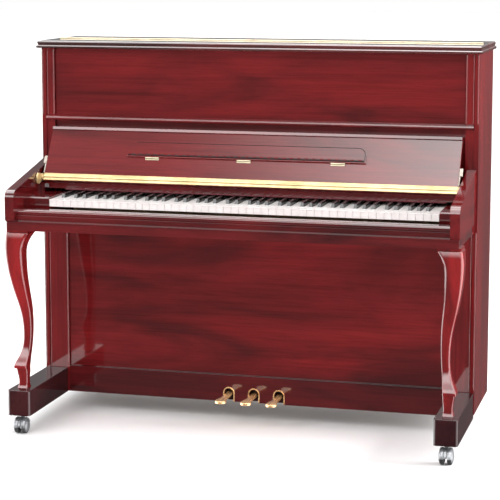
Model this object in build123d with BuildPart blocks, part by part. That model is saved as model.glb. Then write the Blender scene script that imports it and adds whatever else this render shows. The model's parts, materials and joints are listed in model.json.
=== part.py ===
from build123d import *
import os
from math import atan2, degrees, hypot

# Upright piano with cabriole legs. X runs along the keyboard to the treble side, Y to the back,
# Z up. The origin is on the floor under the middle of the piano. Millimetres.

os.makedirs("parts", exist_ok=True)

# ---- driving dimensions ----
WIDTH = 1420  # across the side panels
HEIGHT = 1218  # floor to lid top
DEPTH = 654  # arm fronts to the back
WHITE_PITCH = 23.54  # one white key
WHITE_KEYS = 52
KEYBOARD_X = 19  # the keyboard sits towards the treble side
KEY_TOP = 736  # white key tops above the floor

# Y stations, from the front of the white keys
ARM_Y = -DEPTH / 2
KEY_Y = ARM_Y + 88
CASE_Y = KEY_Y + 249  # front edges of the side panels
PILASTER_Y = CASE_Y + 4
PANEL_Y = CASE_Y + 12
BACK_Y = DEPTH / 2
KEY_LENGTH = 385
KEY_SEEN = 143  # key length in front of the nameboard

# X stations, from the middle outwards
CASE_X = WIDTH / 2
SIDE_X = CASE_X - 14  # inner faces of the side panels
ARM_X = CASE_X - 34  # inner faces of the arms
ARM_OUT_X = CASE_X - 5  # outer faces of the arms
PILASTER_X = SIDE_X - 28
LOWER_PILASTER_X = SIDE_X - 67
FALLBOARD_X = 664
TOE_X = (CASE_X - 75, CASE_X - 2)

# Z stations
LID_Z = HEIGHT - 24
KEYBED_Z = (KEY_TOP - 89, KEY_TOP - 61)
RAIL_Z = (62, 148)  # bottom rail
TOE_Z = (61, 141)
SIDE_Z = 72  # bottom edges of the side panels
LEDGE_Z = HEIGHT - 256  # underside of the upper panel's ledge

SIDES = {"left": -1, "right": 1}


def save(piece, name):
    """Label a finished sub-part and write its STEP file."""
    piece.part.label = name
    export_step(piece.part, f"parts/{name}.step")


def block(x, y, z, mode=Mode.ADD):
    """Add a box given by its lower and upper limits along each axis."""
    with Locations(((x[0] + x[1]) / 2, (y[0] + y[1]) / 2, (z[0] + z[1]) / 2)):
        return Box(abs(x[1] - x[0]), abs(y[1] - y[0]), abs(z[1] - z[0]), mode=mode)


def bar(points, x0, x1, mode=Mode.ADD):
    """Add a bar with a constant (y, z) outline from x0 to x1."""
    with BuildSketch(Plane.YZ.offset(min(x0, x1))) as outline:
        with BuildLine():
            Polyline(*points, close=True)
        make_face()
    return extrude(outline.sketch, amount=abs(x1 - x0), mode=mode)


def rod(start, end, radius, mode=Mode.ADD):
    """Add a round rod between two points."""
    run = Vector(*end) - Vector(*start)
    with BuildSketch(Plane(origin=start, z_dir=run)) as section:
        Circle(radius)
    return extrude(section.sketch, amount=run.length, mode=mode)


# ---- case ----
for side, sign in SIDES.items():
    with BuildPart() as side_panel:
        block((sign * SIDE_X, sign * CASE_X), (CASE_Y, BACK_Y), (SIDE_Z, LID_Z))
    save(side_panel, f"side_panel_{side}")

PILASTER_DEPTH = 40
with BuildPart() as pilasters:
    for sign in SIDES.values():
        block((sign * PILASTER_X, sign * SIDE_X), (PILASTER_Y, PILASTER_Y + PILASTER_DEPTH),
              (KEYBED_Z[1], LID_Z))
        block((sign * LOWER_PILASTER_X, sign * SIDE_X), (PILASTER_Y, PILASTER_Y + PILASTER_DEPTH),
              (RAIL_Z[0], KEYBED_Z[0]))
save(pilasters, "pilasters")

# The lid is two boards with a continuous hinge between them. Its edges have two round nosings with a
# groove between them, and the lower nosing stands further out.
LID_X = CASE_X + 10
LID_FRONT_Y = CASE_Y - 21
LID_HINGE_Y = LID_FRONT_Y + 165
LID_HINGE_Z = HEIGHT + 1
LID_HINGE_RADIUS = 3
LID_GAP = 3.6  # from the hinge axis to each board
LOWER_NOSE = (LID_Z, LID_Z + 10)
UPPER_NOSE = (LID_Z + 12, HEIGHT)
GROOVE = 5  # depth of the groove behind the lower nosing
UPPER_SETBACK = 3


def nosed_layer(inset, front, back, heights, radius, round_front):
    """One layer of a lid board, with round nosings at its ends and, if asked, along its front."""
    with BuildPart() as layer:
        block((-LID_X + inset, LID_X - inset), (front, back), heights)
        nosings = layer.edges().filter_by(Axis.Y)
        if round_front:
            nosings += layer.edges().filter_by(Axis.X).group_by(Axis.Y)[0]
        fillet(nosings, radius)
    return layer.part


FRONT_BACK_Y = LID_HINGE_Y - LID_GAP
front_layers = [nosed_layer(0, LID_FRONT_Y, FRONT_BACK_Y, LOWER_NOSE, 4, True),
                nosed_layer(UPPER_SETBACK, LID_FRONT_Y + UPPER_SETBACK, FRONT_BACK_Y, UPPER_NOSE, 5, True)]
with BuildPart() as lid_front:
    add(front_layers)
    block((-LID_X + GROOVE, LID_X - GROOVE), (LID_FRONT_Y + GROOVE, FRONT_BACK_Y), (LID_Z + 2, HEIGHT - 2))
save(lid_front, "lid_front")

REAR_FRONT_Y = LID_HINGE_Y + LID_GAP
rear_layers = [nosed_layer(0, REAR_FRONT_Y, BACK_Y, LOWER_NOSE, 4, False),
               nosed_layer(UPPER_SETBACK, REAR_FRONT_Y, BACK_Y, UPPER_NOSE, 5, False)]
with BuildPart() as lid_rear:
    add(rear_layers)
    block((-LID_X + GROOVE, LID_X - GROOVE), (REAR_FRONT_Y, BACK_Y), (LID_Z + 2, HEIGHT - 2))
save(lid_rear, "lid_rear")

with BuildPart() as lid_hinge:
    rod((-LID_X + 20, LID_HINGE_Y, LID_HINGE_Z), (LID_X - 20, LID_HINGE_Y, LID_HINGE_Z), LID_HINGE_RADIUS)
    block((-LID_X + 20, LID_X - 20), (LID_HINGE_Y + 1, LID_HINGE_Y + LID_GAP), (HEIGHT - 18, HEIGHT))
save(lid_hinge, "lid_hinge")

# The upper panel ends in a ledge moulding. Behind the open fallboard, a plain rail runs on down from it to
# the nameboard's shelf, so that the action stays covered when the fallboard is closed.
SHELF_Z = (KEY_TOP + 26, KEY_TOP + 34)
LEDGE = 16  # height of the ledge
LEDGE_Y = PANEL_Y - 20
with BuildPart() as upper_panel:
    block((-PILASTER_X + 1, PILASTER_X - 1), (PANEL_Y, PANEL_Y + 20), (LEDGE_Z, LID_Z - 2))
    with BuildSketch(Plane.YZ.offset(-SIDE_X + 1)):
        with BuildLine():
            nose = ThreePointArc((LEDGE_Y + 4, LEDGE_Z), (LEDGE_Y, LEDGE_Z + 6), (LEDGE_Y + 4, LEDGE_Z + 12))
            Polyline(nose @ 1, (PILASTER_Y, LEDGE_Z + LEDGE), (PILASTER_Y, LEDGE_Z), nose @ 0)
        make_face()
    extrude(amount=2 * SIDE_X - 2)
    block((-PILASTER_X + 1, PILASTER_X - 1), (PILASTER_Y, PANEL_Y), (LEDGE_Z, LEDGE_Z + LEDGE))
    block((-PILASTER_X + 1, PILASTER_X - 1), (PANEL_Y + 4, PANEL_Y + 20), (SHELF_Z[0], LEDGE_Z))
save(upper_panel, "upper_panel")

with BuildPart() as lower_panel:
    block((-LOWER_PILASTER_X + 1, LOWER_PILASTER_X - 1), (PANEL_Y, PANEL_Y + 14),
          (RAIL_Z[1] + 1, KEYBED_Z[0] - 1))
save(lower_panel, "lower_panel")

# The bottom rail has an arched opening for each pedal.
PEDAL_PITCH = 83
PEDAL_SLOT = 30
PEDAL_SLOT_TOP = 106
PEDALS = {"left": -PEDAL_PITCH, "middle": 0, "right": PEDAL_PITCH}
with BuildPart() as bottom_rail:
    block((-LOWER_PILASTER_X, LOWER_PILASTER_X), (PILASTER_Y, PILASTER_Y + 22), RAIL_Z)
    with BuildSketch(Plane.XZ.offset(-PILASTER_Y)):
        for pedal_x in PEDALS.values():
            with Locations((pedal_x, PEDAL_SLOT_TOP - PEDAL_SLOT / 2)):
                Circle(PEDAL_SLOT / 2)
            with Locations((pedal_x, (RAIL_Z[0] + PEDAL_SLOT_TOP - PEDAL_SLOT / 2) / 2)):
                Rectangle(PEDAL_SLOT, PEDAL_SLOT_TOP - PEDAL_SLOT / 2 - RAIL_Z[0])
    extrude(amount=-22, mode=Mode.SUBTRACT)
save(bottom_rail, "bottom_rail")

BOARD_TOP = RAIL_Z[0] + 18
POST_Y = BACK_Y - 68  # front faces of the back posts
with BuildPart() as bottom_board:
    block((-SIDE_X, SIDE_X), (PILASTER_Y + PILASTER_DEPTH, BACK_Y), (RAIL_Z[0], BOARD_TOP))
    for pedal_x in PEDALS.values():
        block((pedal_x - 14, pedal_x + 14), (PILASTER_Y + PILASTER_DEPTH, PILASTER_Y + PILASTER_DEPTH + 50),
              (RAIL_Z[0], BOARD_TOP), mode=Mode.SUBTRACT)
save(bottom_board, "bottom_board")

# ---- arms, keybed and keyslip ----
ARM_NOSE_Z = KEY_TOP + 37
ARM_BACK_Z = KEY_TOP + 103
NOSE = 26  # radius of the arm's rounded nose
for side, sign in SIDES.items():
    with BuildPart() as arm:
        with BuildSketch(Plane.YZ.offset(min(sign * ARM_X, sign * ARM_OUT_X))):
            with BuildLine():
                nose = RadiusArc((ARM_Y, ARM_NOSE_Z - NOSE), (ARM_Y + NOSE, ARM_NOSE_Z), NOSE)
                Polyline(nose @ 1, (CASE_Y, ARM_BACK_Z), (CASE_Y, KEYBED_Z[1]),
                         (ARM_Y + 6, KEYBED_Z[1]), (ARM_Y, KEYBED_Z[1] + 6), nose @ 0)
            make_face()
        extrude(amount=ARM_OUT_X - ARM_X)
        block((sign * ARM_X, sign * SIDE_X), (CASE_Y, PILASTER_Y), (KEYBED_Z[1], ARM_BACK_Z))
    save(arm, f"arm_{side}")

with BuildPart() as keybed:
    block((-ARM_OUT_X + 3, ARM_OUT_X - 3), (ARM_Y + 5, CASE_Y), KEYBED_Z)
    block((-SIDE_X, SIDE_X), (CASE_Y, KEY_Y + KEY_LENGTH + 10), KEYBED_Z)
save(keybed, "keybed")

# The keyslip has a rounded top bead, a groove below it and a low ledge in front of the keys.
SLIP_TOP = KEY_TOP - 25
SLIP_STEP = SLIP_TOP - 9
with BuildPart() as keyslip:
    with BuildSketch(Plane.YZ.offset(-ARM_X)):
        with BuildLine():
            bead = ThreePointArc((KEY_Y - 66, SLIP_TOP - 14), (KEY_Y - 68, SLIP_TOP - 4),
                                 (KEY_Y - 60, SLIP_TOP))
            Polyline(bead @ 1, (KEY_Y - 36, SLIP_TOP), (KEY_Y - 36, SLIP_STEP), (KEY_Y - 4, SLIP_STEP),
                     (KEY_Y - 4, KEYBED_Z[1]), (KEY_Y - 68, KEYBED_Z[1]), (KEY_Y - 68, SLIP_TOP - 21),
                     (KEY_Y - 64, SLIP_TOP - 18), bead @ 0)
        make_face()
    extrude(amount=2 * ARM_X)
save(keyslip, "keyslip")

# ---- keyboard ----
KEYS_X = KEYBOARD_X - WHITE_KEYS * WHITE_PITCH / 2  # bass end of the keyboard
KEYS_END_X = KEYS_X + WHITE_KEYS * WHITE_PITCH
KEY_GAP = 1.0
KEY_HEIGHT = 22
HEAD = 50  # length of the wide front part of a white key
SHARP_RISE = 12
SHARP_LENGTH = 92
BALANCE_Y = KEY_Y + 222  # pins that the keys rock on
KEY_BOTTOM = KEY_TOP - KEY_HEIGHT

with BuildPart() as key_blocks:
    block((-ARM_X, KEYS_X - KEY_GAP), (KEY_Y, KEY_Y + KEY_SEEN), (KEYBED_Z[1], KEY_TOP + 6))
    block((KEYS_END_X + KEY_GAP, ARM_X), (KEY_Y, KEY_Y + KEY_SEEN), (KEYBED_Z[1], KEY_TOP + 6))
    fillet(key_blocks.edges().filter_by(Axis.X).group_by(Axis.Y)[0].group_by(Axis.Z)[-1], 5)
save(key_blocks, "key_blocks")

with BuildPart() as key_rails:
    for y, width, top in (
        (KEY_Y + 20, 40, KEY_BOTTOM - 14),
        (BALANCE_Y, 16, KEY_BOTTOM - 0.7),
        (KEY_Y + KEY_LENGTH - 25, 40, KEY_BOTTOM - 0.5),
    ):
        block((KEYS_X, KEYS_END_X), (y - width / 2, y + width / 2), (KEYBED_Z[1], top))
save(key_rails, "key_rails")

# Behind the heads the octave is shared out evenly: five keys over three heads, then seven over four.
NOTES = ("c", "c_sharp", "d", "d_sharp", "e", "f", "f_sharp", "g", "g_sharp", "a", "a_sharp", "b")
WHITE_STEP = {"c": 0, "d": 1, "e": 2, "f": 3, "g": 4, "a": 5, "b": 6}
FIRST_KEY, LAST_KEY = 9, 96  # semitones from the C below the keyboard: A0 to C8


def tail_start(semitone):
    """X where a key's tail starts, counted from the C below it."""
    if semitone <= 5:
        return semitone * 3 * WHITE_PITCH / 5
    return (3 + (semitone - 5) * 4 / 7) * WHITE_PITCH


def white_key(left, head_right, tail_left, tail_right):
    """Add a white key: a wide head with a small front nose, and a narrower tail."""
    with BuildSketch(Plane.YZ.offset(left)) as side:
        with BuildLine():
            Polyline((KEY_Y + 1.5, KEY_BOTTOM), (KEY_Y + 1.5, KEY_TOP - 3), (KEY_Y, KEY_TOP - 3),
                     (KEY_Y, KEY_TOP), (KEY_Y + HEAD, KEY_TOP), (KEY_Y + HEAD, KEY_BOTTOM), close=True)
        make_face()
    extrude(side.sketch, amount=head_right - left)
    block((tail_left, tail_right), (KEY_Y + HEAD, KEY_Y + KEY_LENGTH), (KEY_BOTTOM, KEY_TOP))


def black_key(left, right):
    """Add a black key: a wooden stick under a raised top with sloping sides and front."""
    block((left, right), (KEY_Y + HEAD + 1, KEY_Y + KEY_LENGTH), (KEY_BOTTOM, KEY_TOP - 2))
    middle = (left + right) / 2
    half = (right - left) / 2 - 0.4
    y0, y1 = KEY_Y + HEAD + 1, KEY_Y + HEAD + SHARP_LENGTH
    with BuildSketch(Plane.XY.offset(KEY_TOP - 2)) as base:
        with Locations((middle, (y0 + y1) / 2)):
            Rectangle(2 * half, y1 - y0)
    with BuildSketch(Plane.XY.offset(KEY_TOP + SHARP_RISE)) as top:
        with Locations((middle, (y0 + 5 + y1) / 2)):
            Rectangle(2 * half - 2, y1 - y0 - 5)
    loft([base.sketch.face(), top.sketch.face()])


for index, note in enumerate(NOTES):
    with BuildPart() as keys:
        for semitone in range(FIRST_KEY, LAST_KEY + 1):
            if semitone % 12 != index:
                continue
            octave_x = KEYS_X + (7 * (semitone // 12) - 5) * WHITE_PITCH
            tail = [octave_x + tail_start(index) + KEY_GAP / 2,
                    octave_x + tail_start(index + 1) - KEY_GAP / 2]
            if note not in WHITE_STEP:
                black_key(tail[0] + 0.6, tail[1] - 0.6)
                continue
            head_left = octave_x + WHITE_STEP[note] * WHITE_PITCH + KEY_GAP / 2
            head_right = head_left + WHITE_PITCH - KEY_GAP
            if semitone == FIRST_KEY:
                tail[0] = head_left
            if semitone == LAST_KEY:
                tail[1] = head_right
            white_key(head_left, head_right, tail[0], tail[1])
    save(keys, f"keys_{note}")

# ---- nameboard, fallboard and music desk ----
# The fallboard leans back when open. Its own directions are along the board and out of its back.
PIVOT = (KEY_Y + 138, KEY_TOP + 54)
BOARD_TOP_POINT = (KEY_Y + 229, KEY_TOP + 203)
BOARD_RUN = (BOARD_TOP_POINT[0] - PIVOT[0], BOARD_TOP_POINT[1] - PIVOT[1])
BOARD_LENGTH = hypot(*BOARD_RUN)
ALONG = (BOARD_RUN[0] / BOARD_LENGTH, BOARD_RUN[1] / BOARD_LENGTH)
BOARD_THICK = 14
LEAF = 12  # height of each hinge leaf


def on_board(along, back):
    """(y, z) of a point given along the open fallboard from its pivot, and back from its face."""
    return (PIVOT[0] + along * ALONG[0] + back * ALONG[1], PIVOT[1] + along * ALONG[1] - back * ALONG[0])


with BuildPart() as nameboard:
    bar([(KEY_Y + KEY_SEEN, KEY_TOP + 17), (KEY_Y + KEY_SEEN, KEY_TOP + 34), on_board(-LEAF, 2),
         on_board(-3.2, 2), on_board(-3.2, 16), (KEY_Y + KEY_SEEN + 22, KEY_TOP + 34),
         (KEY_Y + KEY_SEEN + 22, KEY_TOP + 17)], -FALLBOARD_X, FALLBOARD_X)
    block((-FALLBOARD_X, FALLBOARD_X), (KEY_Y + KEY_SEEN + 20, PANEL_Y + 3.8), SHELF_Z)
    for sign in SIDES.values():
        block((sign * FALLBOARD_X, sign * ARM_X), (KEY_Y + KEY_SEEN, KEY_Y + KEY_SEEN + 22),
              (KEY_TOP + 6, KEY_TOP + 34))
save(nameboard, "nameboard")

with BuildPart() as nameboard_felt:
    block((KEYS_X, KEYS_END_X), (KEY_Y + KEY_SEEN - 2, KEY_Y + KEY_SEEN + 10),
          (KEY_TOP + SHARP_RISE + 1, KEY_TOP + 17))
save(nameboard_felt, "nameboard_felt")

# The fixed leaf of the continuous hinge lies on the nameboard; a bracket on each arm holds its end.
with BuildPart() as hinge_fixed:
    bar([on_board(-LEAF, 0), on_board(-3.2, 0), on_board(-3.2, 2), on_board(-LEAF, 2)],
        -FALLBOARD_X, FALLBOARD_X)
    for sign in SIDES.values():
        block((sign * (ARM_X - 2), sign * ARM_X), (PIVOT[0] - 18, PIVOT[0] + 22),
              (PIVOT[1] - 18, PIVOT[1] + 8))
        rod((sign * (FALLBOARD_X + 1), *PIVOT), (sign * (ARM_X - 2), *PIVOT), 5)
save(hinge_fixed, "fallboard_hinge_fixed")

with BuildPart() as hinge_moving:
    rod((-FALLBOARD_X, *PIVOT), (FALLBOARD_X, *PIVOT), 3)
    bar([on_board(0, 0), on_board(LEAF, 0), on_board(LEAF, 2), on_board(0, 2)], -FALLBOARD_X, FALLBOARD_X)
save(hinge_moving, "fallboard_hinge_moving")

# The board has a small bead along its top edge, which comes down in front of the keys when closed.
with BuildPart() as fallboard:
    bar([on_board(3.2, 2), on_board(LEAF, 2), on_board(LEAF, 0), on_board(BOARD_LENGTH - 8, 0),
         on_board(BOARD_LENGTH - 8, -4), on_board(BOARD_LENGTH, -6), on_board(BOARD_LENGTH + 4, 0),
         on_board(BOARD_LENGTH + 4, BOARD_THICK), on_board(3.2, BOARD_THICK)], -FALLBOARD_X, FALLBOARD_X)
save(fallboard, "fallboard")

# The music desk folds flat against the fallboard, on three small hinges along its lower edge.
DESK_X = -12
DESK_LENGTH = 774
DESK_FOOT = 74  # along the board
DESK_HEIGHT = 54
DESK_THICK = 6
DESK_LEAF = 6  # width of the fixed hinge leaves
DESK_PIVOT = on_board(DESK_FOOT, -3.5)
DESK_PLANE = Plane(origin=(DESK_X, *on_board(DESK_FOOT, -0.4)), x_dir=(1, 0, 0),
                   z_dir=(0, -ALONG[1], ALONG[0]))
HINGE_PITCH = 300
with BuildPart() as music_desk:
    with BuildSketch(DESK_PLANE) as desk_face:
        with Locations((0, 3 + DESK_HEIGHT / 2)):
            Rectangle(DESK_LENGTH, DESK_HEIGHT)
        fillet(desk_face.vertices().group_by(Axis.Y)[-1], 30)
    extrude(amount=DESK_THICK)
    fillet(music_desk.faces().sort_by(Axis.Y)[0].edges(), 1.5)
save(music_desk, "music_desk")

with BuildPart() as music_desk_hinges:
    for step in (-1, 0, 1):
        x = DESK_X + step * HINGE_PITCH
        rod((x - 22, *DESK_PIVOT), (x + 22, *DESK_PIVOT), 2.4)
        bar([on_board(DESK_FOOT - DESK_LEAF, 0), on_board(DESK_FOOT - DESK_LEAF, -1.2),
             on_board(DESK_FOOT, -1.2), on_board(DESK_FOOT, 0)], x - 22, x + 22)
save(music_desk_hinges, "music_desk_hinges")

# ---- legs and toe blocks ----
LEG_X = (TOE_X[0] + TOE_X[1]) / 2
LEG_Y = KEY_Y - 34
TOE_TIP_Z = 205
# Every section is a square in line with the case, because the same S curve is cut on two faces.
# (height, reach of the outer and front faces from the leg's axis, reach of the other two, corner radius)
FOOT_SECTIONS = (
    (TOE_Z[1], 17.5, 16.5, 3),
    (152, 14.5, 14.5, 4),
    (180, 15.5, 15, 4),
    (TOE_TIP_Z, 19.5, 15.5, 4),
)
LEG_SECTIONS = (
    (TOE_TIP_Z, 25, 15.5, 4),
    (217, 24, 16.5, 4),
    (232, 17.5, 18, 5),
    (254, 8.5, 20.5, 6),
    (285, 2.5, 23.5, 6),
    (320, 1.5, 25.5, 6),
    (360, 4.5, 26, 7),
    (405, 12.5, 24, 8),
    (450, 23.5, 19.5, 9),
    (500, 34, 15, 10),
    (550, 41.5, 13.5, 12),
    (598, 44, 17, 13),
    (KEYBED_Z[0] - 22, 41.5, 28, 11),
    (KEYBED_Z[0] - 8, 39, 36, 8),
)


def square_column(sections, sign):
    """Loft a column through the leg's square sections, on one side of the piano."""
    faces = []
    for height, out, back, corner in sections:
        with BuildSketch(Plane.XY.offset(height)) as square:
            with Locations((sign * (LEG_X + (out - back) / 2), LEG_Y - (out - back) / 2)):
                RectangleRounded(out + back, out + back, corner)
        faces.append(square.sketch.face())
    loft(faces)


for side, sign in SIDES.items():
    with BuildPart() as leg:
        square_column(FOOT_SECTIONS, sign)
        square_column(LEG_SECTIONS, sign)
        fillet(leg.faces().sort_by(Axis.Z)[-1].edges(), 3)
        block((sign * (LEG_X - 33), sign * (LEG_X + 36)), (LEG_Y - 36, LEG_Y + 33),
              (KEYBED_Z[0] - 9, KEYBED_Z[0]))
    save(leg, f"leg_{side}")
    with BuildPart() as toe_block:
        block((sign * TOE_X[0], sign * TOE_X[1]), (ARM_Y, CASE_Y), TOE_Z)
        fillet(toe_block.edges().filter_by(Axis.Z).group_by(Axis.Y)[0], 10)
        fillet(toe_block.faces().sort_by(Axis.Z)[-1].edges().group_by(Axis.Y)[0], 2)
    save(toe_block, f"toe_block_{side}")

# ---- casters ----
CASTER_Y = ARM_Y + 38
WHEEL_RADIUS = 24
AXLE_Y = CASTER_Y - 12  # the wheels trail in front of the swivel
for side, sign in SIDES.items():
    swivel = sign * LEG_X
    with BuildPart() as housing:
        with Locations((swivel, CASTER_Y, TOE_Z[0] - 2)):
            Cylinder(19, 4)
        with Locations((swivel, CASTER_Y, TOE_Z[0] - 7)):
            Cylinder(8, 8)
        with BuildSketch(Plane.YZ.offset(swivel - 4)):
            with Locations((AXLE_Y, WHEEL_RADIUS)):
                Circle(WHEEL_RADIUS + 3)
            with Locations((AXLE_Y, WHEEL_RADIUS - 16)):
                Rectangle(80, 32, mode=Mode.SUBTRACT)
        extrude(amount=8)
        rod((swivel - 20, AXLE_Y, WHEEL_RADIUS), (swivel + 20, AXLE_Y, WHEEL_RADIUS), 3)
    save(housing, f"caster_{side}_housing")
    with BuildPart() as wheels:
        for inner in (-1, 1):
            with BuildSketch(Plane.YZ.offset(swivel + inner * 11.5)):
                with Locations((AXLE_Y, WHEEL_RADIUS)):
                    Circle(WHEEL_RADIUS)
                    Circle(3.05, mode=Mode.SUBTRACT)
            extrude(amount=6.5, both=True)
        fillet(wheels.edges().filter_by(GeomType.CIRCLE).filter_by(lambda e: e.radius > 10), 3)
    save(wheels, f"caster_{side}_wheels")

REAR_CASTER_Y = BACK_Y - 45
REAR_CASTER_X = 600
with BuildPart() as rear_brackets:
    for sign in SIDES.values():
        x = sign * REAR_CASTER_X
        block((x - 24, x + 24), (REAR_CASTER_Y - 30, REAR_CASTER_Y + 30), (RAIL_Z[0] - 4, RAIL_Z[0]))
        for cheek in (-1, 1):
            block((x + cheek * 16, x + cheek * 19), (REAR_CASTER_Y - 14, REAR_CASTER_Y + 14),
                  (14, RAIL_Z[0] - 4))
        rod((x - 19, REAR_CASTER_Y, WHEEL_RADIUS), (x + 19, REAR_CASTER_Y, WHEEL_RADIUS), 3)
save(rear_brackets, "rear_caster_brackets")

with BuildPart() as rear_wheels:
    for sign in SIDES.values():
        with BuildSketch(Plane.YZ.offset(sign * REAR_CASTER_X)):
            with Locations((REAR_CASTER_Y, WHEEL_RADIUS)):
                Circle(WHEEL_RADIUS)
                Circle(3.05, mode=Mode.SUBTRACT)
        extrude(amount=14, both=True)
    fillet(rear_wheels.edges().filter_by(GeomType.CIRCLE).filter_by(lambda e: e.radius > 10), 2)
save(rear_wheels, "rear_caster_wheels")

# ---- pedals ----
PEDAL_TIP_Y = KEY_Y + 136
PEDAL_PIVOT = (PILASTER_Y + 75, 96)
PEDAL_TOP = 91
for side, x in PEDALS.items():
    with BuildPart() as pedal:
        with BuildSketch(Plane.XY.offset(PEDAL_TOP - 9)):
            with BuildLine():
                toe = ThreePointArc((x - 17, PEDAL_TIP_Y + 20), (x, PEDAL_TIP_Y), (x + 17, PEDAL_TIP_Y + 20))
                right = Spline(toe @ 1, (x + 9, PEDAL_TIP_Y + 66), tangents=(toe % 1, (0, 1)))
                left = Spline(toe @ 0, (x - 9, PEDAL_TIP_Y + 66), tangents=(-1 * (toe % 0), (0, 1)))
                Polyline(right @ 1, (x + 9, PEDAL_PIVOT[0]), (x - 9, PEDAL_PIVOT[0]), left @ 1)
            make_face()
        extrude(amount=9)
        fillet(pedal.faces().sort_by(Axis.Z)[-1].edges().group_by(Axis.Y)[0], 2.5)
        rod((x - 12, *PEDAL_PIVOT), (x + 12, *PEDAL_PIVOT), 7)
    save(pedal, f"pedal_{side}")

# ---- back frame, soundboard and iron plate ----
POSTS = 5
POST_WIDTH = 70
POST_X = SIDE_X - 10 - POST_WIDTH / 2
BEAM = 110
BEAM_TOP = LID_Z - 3
with BuildPart() as back_posts:
    for i in range(POSTS):
        x = -POST_X + i * 2 * POST_X / (POSTS - 1)
        block((x - POST_WIDTH / 2, x + POST_WIDTH / 2), (POST_Y, BACK_Y - 4),
              (BOARD_TOP + BEAM, BEAM_TOP - BEAM))
save(back_posts, "back_posts")

with BuildPart() as back_beams:
    for bottom in (BOARD_TOP, BEAM_TOP - BEAM):
        block((-SIDE_X + 1, SIDE_X - 1), (POST_Y, BACK_Y - 4), (bottom, bottom + BEAM))
save(back_beams, "back_beams")

SOUND_Y = POST_Y - 8
PIN_BLOCK_Z = (HEIGHT - 222, HEIGHT - 57)
with BuildPart() as soundboard:
    block((-SIDE_X + 16, SIDE_X - 16), (SOUND_Y, POST_Y), (BOARD_TOP + 40, PIN_BLOCK_Z[0] - 20))
save(soundboard, "soundboard")

with BuildPart() as pin_block:
    block((-SIDE_X + 31, SIDE_X - 31), (POST_Y - 30, POST_Y), PIN_BLOCK_Z)
save(pin_block, "pin_block")

# The plate is one casting: a border, struts between the string sections and a solid top.
PLATE_X = SIDE_X - 31
PLATE_Y = POST_Y - 42
PLATE_Z = (BOARD_TOP + 30, PIN_BLOCK_Z[1] + 10)
STRUTS = (-0.30, 0.12, 0.55)  # as parts of the half width
with BuildPart() as iron_plate:
    block((-PLATE_X, PLATE_X), (PLATE_Y, PLATE_Y + 12), PLATE_Z)
    edges = [-PLATE_X + 20] + [s * PLATE_X for s in STRUTS] + [PLATE_X - 20]
    for left, right in zip(edges, edges[1:]):
        block((left + 14, right - 14), (PLATE_Y, PLATE_Y + 12), (PLATE_Z[0] + 70, PIN_BLOCK_Z[0] - 30),
              mode=Mode.SUBTRACT)
save(iron_plate, "iron_plate")

# One string stands for each note's one, two or three. The bass strings cross over the others.
# They start at the pressure bar, below four rows of tuning pins.
NOTE_COUNT = 88
BASS_NOTES = 28
STRING_Y = PLATE_Y - 12
STRING_TOP = PIN_BLOCK_Z[0] + 35
SPREAD_X = 600


def note_x(note):
    """X of a note's string at the pressure bar."""
    return SPREAD_X * (2 * note / (NOTE_COUNT - 1) - 1)


with BuildPart() as strings:
    rods = []
    for note in range(NOTE_COUNT):
        if note < BASS_NOTES:
            foot = (note_x(note) + 430, STRING_Y - 5, 190)
            rods.append(rod((note_x(note), STRING_Y - 5, STRING_TOP), foot, 1.4, Mode.PRIVATE))
        else:
            foot = (note_x(note) - 40, STRING_Y, 195 + 700 * (note - BASS_NOTES) / (NOTE_COUNT - BASS_NOTES))
            rods.append(rod((note_x(note), STRING_Y, STRING_TOP), foot, 0.6, Mode.PRIVATE))
    add(rods)
save(strings, "strings")

PIN_ROWS = 4
PIN_PITCH_Z = 26
PIN_LENGTH = 26
PIN_RADIUS = 3
with BuildPart() as tuning_pins:
    pins = []
    for note in range(NOTE_COUNT):
        height = STRING_TOP + 24 + PIN_PITCH_Z * (note % PIN_ROWS)
        pins.append(rod((note_x(note), PLATE_Y - PIN_LENGTH, height), (note_x(note), PLATE_Y, height),
                        PIN_RADIUS, Mode.PRIVATE))
    add(pins)
save(tuning_pins, "tuning_pins")

BRIDGE_FRONT = PLATE_Y + 13
with BuildPart() as bridges:
    for (x0, z0), (x1, z1) in (((-300, 300), (560, 850)), ((-180, 240), (120, 270))):
        slope = degrees(atan2(z1 - z0, x1 - x0))
        with BuildSketch(Plane.XZ.offset(-BRIDGE_FRONT)) as bridge_line:
            with Locations(Location(((x0 + x1) / 2, (z0 + z1) / 2), slope)):
                Rectangle(hypot(x1 - x0, z1 - z0), 28)
        extrude(bridge_line.sketch, amount=-(SOUND_Y - BRIDGE_FRONT))
save(bridges, "bridges")

# ---- action ----
ACTION_Z = KEY_TOP + 20
BUTT = (PANEL_Y + 95, ACTION_Z + 60)  # hammer flange centres
STRIKE_Z = KEY_TOP + 180
ACTION_X = (KEYS_X - 35, KEYS_END_X + 25)
with BuildPart() as action_frame:
    for x in (ACTION_X[0] + 5, -210, 205, ACTION_X[1] - 5):
        block((x - 5, x + 5), (BUTT[0] - 42, BUTT[0] - 30), (ACTION_Z, STRIKE_Z + 60))
    block(ACTION_X, (BUTT[0] - 30, BUTT[0] - 6), (BUTT[1] - 34, BUTT[1] - 14))
save(action_frame, "action_frame")

HEAD_BACK = BUTT[0] - 14
HEAD_TIP = BUTT[0] + 38
with BuildPart() as hammers:
    pieces = []
    for note in range(NOTE_COUNT):
        x = note_x(note)
        pieces.append(block((x - 3, x + 3), (BUTT[0] - 4, BUTT[0] + 4), (BUTT[1] - 8, STRIKE_Z),
                            Mode.PRIVATE))
        pieces.append(bar([(HEAD_BACK, STRIKE_Z - 8), (HEAD_TIP - 8, STRIKE_Z - 10), (HEAD_TIP, STRIKE_Z),
                           (HEAD_TIP - 8, STRIKE_Z + 10), (HEAD_BACK, STRIKE_Z + 8)],
                          x - 5, x + 5, Mode.PRIVATE))
    add(pieces)
save(hammers, "hammers")

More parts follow.
